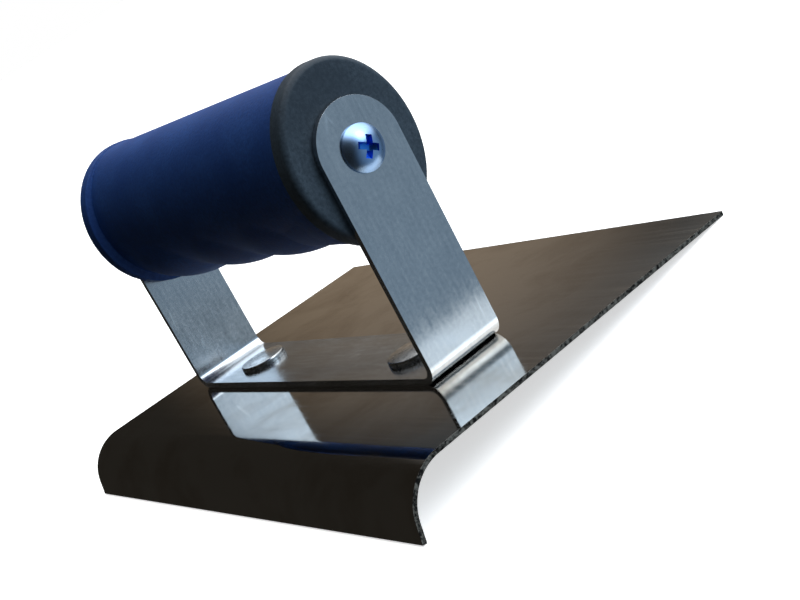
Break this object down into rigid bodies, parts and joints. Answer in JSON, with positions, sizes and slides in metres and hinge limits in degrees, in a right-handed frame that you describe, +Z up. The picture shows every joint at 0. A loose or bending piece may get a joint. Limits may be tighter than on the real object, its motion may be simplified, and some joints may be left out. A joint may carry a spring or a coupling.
{
  "type": "concrete hand edger",
  "caption": "Hand edging trowel: polished blade with a rounded lip, riveted strap bracket and an oval finger grip that turns on its tie rod.",
  "frame": {"origin": "on the blade's sole, midway along the blade, straight below the grip's axis", "axes": "+X along the lip, +Y from the lip towards the blade's far edge, +Z up from the sole to the grip"},
  "size_m": [0.15, 0.0995, 0.0799],
  "materials": {
    "blade_steel": "mirror polished sheet with sheared edges",
    "strap_steel": "satin rolled strip, lightly scratched",
    "rivet_steel": "polished",
    "rod_steel": "turned",
    "zinc_plate": "bright zinc, blue passivated",
    "grip_blue": "moulded with a fine matt grain",
    "cap_black": "moulded, satin"
  },
  "bodies": {
    "frame": {"blade": "blade_steel", "bracket": "strap_steel", "rivet_left": "rivet_steel", "rivet_right": "rivet_steel", "tie_rod": "rod_steel", "screw_left": "zinc_plate", "screw_right": "zinc_plate"},
    "grip": {"grip": "grip_blue", "end_cap": "cap_black"}
  },
  "joints": [
    {"name": "grip_turn", "type": "hinge", "parent": "frame", "child": "grip", "pos_m": [-0.0034, 0, 0.049], "axis": [1, 0, 0], "continuous": true}
  ]
}
